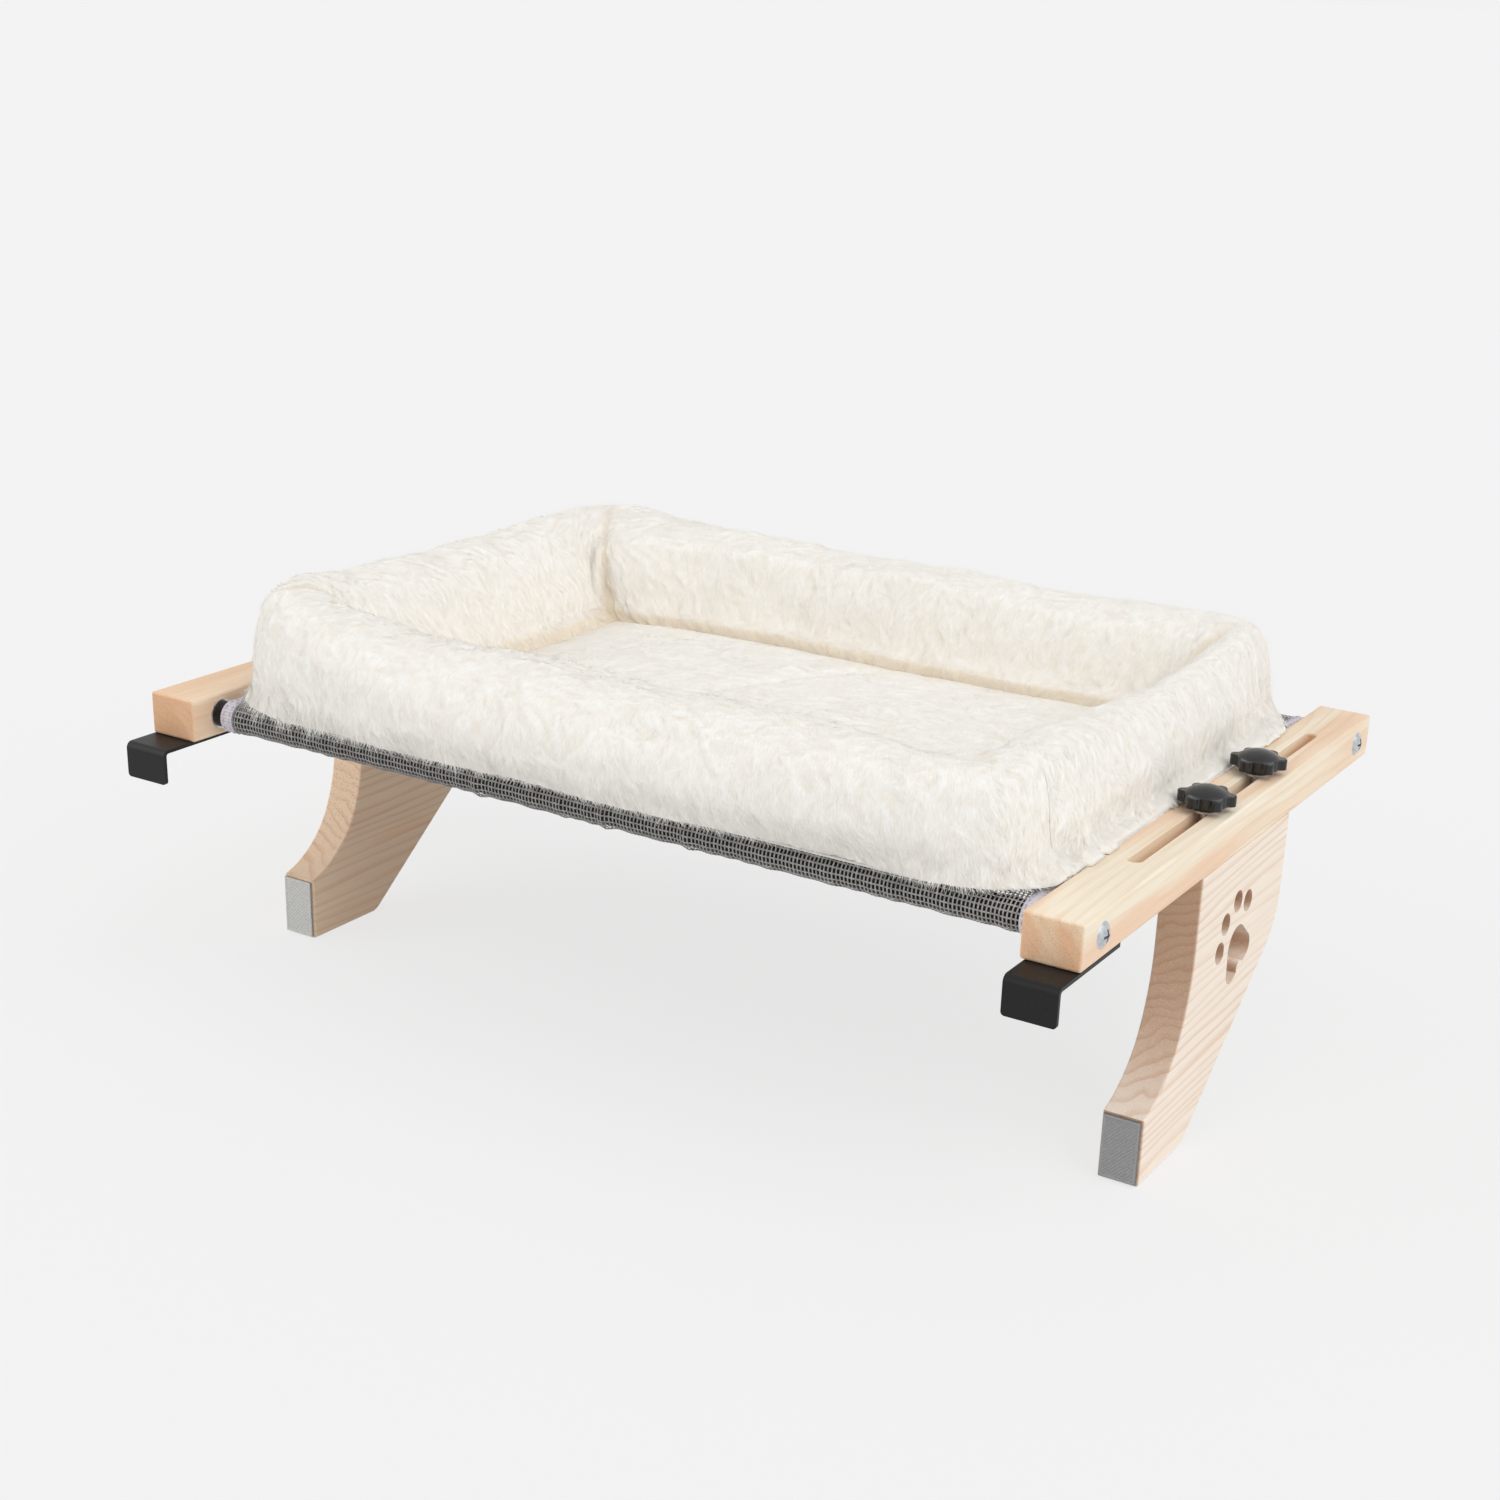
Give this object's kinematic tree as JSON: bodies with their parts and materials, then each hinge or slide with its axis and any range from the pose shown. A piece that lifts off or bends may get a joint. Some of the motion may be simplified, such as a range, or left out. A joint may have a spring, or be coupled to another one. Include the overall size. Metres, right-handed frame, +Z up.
{
  "type": "window mounted cat perch",
  "caption": "Cat perch that hooks over a window sill: slotted wooden rails, curved wooden legs that press on the wall, a mesh sling on steel tubes and a plush bed with a raised rim.",
  "frame": {"origin": "edge of the sill: midway between the rails, on the inner face of the two hook lips, at the height of the plates' undersides", "axes": "+X to the right along the tubes, +Y from the window into the room along the rails, +Z up"},
  "size_m": [0.5552, 0.4, 0.2236],
  "materials": {
    "pine": "planed and lightly sanded",
    "black_coated_steel": "satin powder coat",
    "zinc": "bright zinc plate",
    "grey_rubber": "matt, ribbed",
    "binding_tape": "woven tape",
    "plug_nylon": "moulded",
    "black_plastic": "moulded, glossy",
    "mesh_textile": "open woven mesh",
    "base_cloth": "non-woven",
    "plush": "long pile"
  },
  "bodies": {
    "frame": {"left_rail": "pine", "right_rail": "pine", "front_tube": "black_coated_steel", "rear_tube": "black_coated_steel", "front_tube_plugs": "plug_nylon", "rear_tube_plugs": "plug_nylon", "front_tube_washers": "zinc", "rear_tube_washers": "zinc", "left_tube_screws": "zinc", "right_tube_screws": "zinc", "left_hook_plate": "black_coated_steel", "right_hook_plate": "black_coated_steel", "left_hook_screws": "zinc", "right_hook_screws": "zinc", "sling": "mesh_textile", "sling_left_binding": "binding_tape", "sling_right_binding": "binding_tape"},
    "left_leg": {"left_leg": "pine", "left_foot_pad": "grey_rubber", "left_leg_inserts": "zinc"},
    "right_leg": {"right_leg": "pine", "right_foot_pad": "grey_rubber", "right_leg_inserts": "zinc"},
    "left_front_washer": {"left_front_knob_washer": "zinc"},
    "left_front_knob": {"left_front_knob": "black_plastic", "left_front_stud": "zinc"},
    "left_rear_washer": {"left_rear_knob_washer": "zinc"},
    "left_rear_knob": {"left_rear_knob": "black_plastic", "left_rear_stud": "zinc"},
    "right_front_washer": {"right_front_knob_washer": "zinc"},
    "right_front_knob": {"right_front_knob": "black_plastic", "right_front_stud": "zinc"},
    "right_rear_washer": {"right_rear_knob_washer": "zinc"},
    "right_rear_knob": {"right_rear_knob": "black_plastic", "right_rear_stud": "zinc"},
    "bed": {"bed_base_cloth": "base_cloth", "bed_floor_cushion": "plush", "bed_front_bolster": "plush", "bed_rear_bolster": "plush", "bed_left_bolster": "plush", "bed_right_bolster": "plush"}
  },
  "joints": [
    {"name": "left_leg_slide", "type": "slide", "parent": "frame", "child": "left_leg", "axis": [0, 1, 0], "range_m": [-0.085, 0.078]},
    {"name": "left_front_knob_lift", "type": "slide", "parent": "left_leg", "child": "left_front_washer", "axis": [0, 0, 1], "range_m": [0, 0.003]},
    {"name": "left_front_knob_turn", "type": "hinge", "parent": "left_front_washer", "child": "left_front_knob", "pos_m": [-0.26, 0.191, 0.025], "axis": [0, 0, 1], "range_deg": [0, 1080]},
    {"name": "left_rear_knob_lift", "type": "slide", "parent": "left_leg", "child": "left_rear_washer", "axis": [0, 0, 1], "range_m": [0, 0.003]},
    {"name": "left_rear_knob_turn", "type": "hinge", "parent": "left_rear_washer", "child": "left_rear_knob", "pos_m": [-0.26, 0.261, 0.025], "axis": [0, 0, 1], "range_deg": [0, 1080]},
    {"name": "right_leg_slide", "type": "slide", "parent": "frame", "child": "right_leg", "axis": [0, 1, 0], "range_m": [-0.085, 0.078]},
    {"name": "right_front_knob_lift", "type": "slide", "parent": "right_leg", "child": "right_front_washer", "axis": [0, 0, 1], "range_m": [0, 0.003]},
    {"name": "right_front_knob_turn", "type": "hinge", "parent": "right_front_washer", "child": "right_front_knob", "pos_m": [0.26, 0.191, 0.025], "axis": [0, 0, 1], "range_deg": [0, 1080]},
    {"name": "right_rear_knob_lift", "type": "slide", "parent": "right_leg", "child": "right_rear_washer", "axis": [0, 0, 1], "range_m": [0, 0.003]},
    {"name": "right_rear_knob_turn", "type": "hinge", "parent": "right_rear_washer", "child": "right_rear_knob", "pos_m": [0.26, 0.261, 0.025], "axis": [0, 0, 1], "range_deg": [0, 1080]},
    {"name": "bed_lift_off", "type": "slide", "parent": "frame", "child": "bed", "axis": [0, 0, 1], "range_m": [0, 0.12]}
  ],
  "couplings": [
    {"joint": "left_front_knob_turn", "follows": "left_front_knob_lift", "rad_per_m": 6283.2},
    {"joint": "left_rear_knob_turn", "follows": "left_rear_knob_lift", "rad_per_m": 6283.2},
    {"joint": "right_front_knob_turn", "follows": "right_front_knob_lift", "rad_per_m": 6283.2},
    {"joint": "right_rear_knob_turn", "follows": "right_rear_knob_lift", "rad_per_m": 6283.2}
  ]
}
